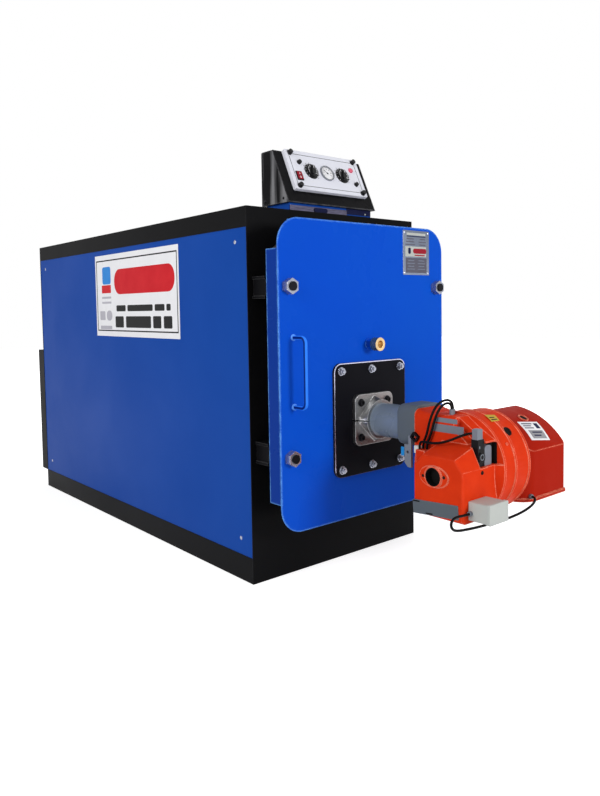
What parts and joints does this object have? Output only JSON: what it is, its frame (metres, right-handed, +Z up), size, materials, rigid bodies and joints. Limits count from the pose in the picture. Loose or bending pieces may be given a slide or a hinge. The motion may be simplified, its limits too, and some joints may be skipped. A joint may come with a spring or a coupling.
{
  "type": "industrial boiler",
  "caption": "Hot-water boiler: cased horizontal fire-tube body with a hinged front door that carries a forced-draught burner, a control box on top and a rear smoke box.",
  "frame": {"origin": "on the floor under the middle of the casing's footprint", "axes": "+Z up, the door and burner face -Y, the casing's length runs along Y, its width along X"},
  "size_m": [0.74, 2.596, 1.3587],
  "materials": {
    "casing_black": "satin black enamel",
    "casing_blue": "semi-gloss blue enamel",
    "body_steel": "heat-dulled mild steel",
    "bracket_black": "brushed-on black paint",
    "zinc_steel": "zinc plated",
    "control_black": "gloss black",
    "fascia_white": "satin white",
    "door_blue": "gloss blue enamel",
    "lining_board": "fibre board, matt",
    "gasket_fibre": "woven rope",
    "stud_black": "black oxide",
    "sight_brass": "turned brass",
    "plate_black": "satin black, bare edge",
    "cast_aluminium": "cast and machined",
    "tube_grey": "blue-grey paint",
    "collar_grey": "grey paint",
    "burner_orange": "orange-red enamel",
    "box_grey": "light grey moulding",
    "servo_grey": "grey moulding",
    "valve_black": "black moulding",
    "lead_black": "black sheath",
    "bare_strip": "bare bright sheet",
    "knob_black": "black moulding",
    "gauge_rim": "pressed bright rim",
    "switch_red": "red, translucent"
  },
  "bodies": {
    "boiler": {"base_frame": "casing_black", "body_saddles": "body_steel", "front_frame": "casing_black", "rear_panel": "casing_black", "top_cover": "casing_black", "side_panel_left": "casing_blue", "side_panel_right": "casing_blue", "boiler_body": "body_steel", "front_tube_plate": "body_steel", "smoke_tubes": "body_steel", "smoke_ring": "body_steel", "hinge_brackets": "bracket_black", "hinge_pins": "zinc_steel", "clamp_brackets": "bracket_black", "smoke_box": "casing_black", "flue_spigot": "bracket_black", "cleaning_cover": "bracket_black", "flow_nozzle": "bracket_black", "return_nozzle": "bracket_black", "control_box": "control_black", "control_base": "casing_blue", "control_fascia": "fascia_white", "control_strip": "bare_strip", "control_knobs": "knob_black", "control_gauge": "gauge_rim", "red_switches": "switch_red"},
    "door": {"door_cover": "door_blue", "door_plate": "body_steel", "door_lining": "lining_board", "door_gasket": "gasket_fibre", "hinge_bolts": "stud_black", "clamp_bolts": "stud_black", "door_nuts": "zinc_steel", "door_handle": "door_blue", "sight_stub": "door_blue", "sight_ring": "sight_brass", "burner_plate": "plate_black", "plate_bolts": "zinc_steel", "burner_flange": "cast_aluminium", "blast_tube": "tube_grey", "head_collar": "collar_grey", "fan_housing": "burner_orange", "silencer": "burner_orange", "valve_body": "valve_black", "valve_servo": "servo_grey", "junction_box": "box_grey", "pump_lug": "servo_grey", "lead_entry": "valve_black", "lead_glands": "servo_grey", "lead_outer": "lead_black", "lead_inner": "lead_black", "lead_servo": "lead_black", "lead_junction": "lead_black"}
  },
  "joints": [
    {"name": "door_swing", "type": "hinge", "parent": "boiler", "child": "door", "pos_m": [0.328, -0.888, 0.6565], "axis": [0, 0, 1], "range_deg": [0, 90]}
  ]
}
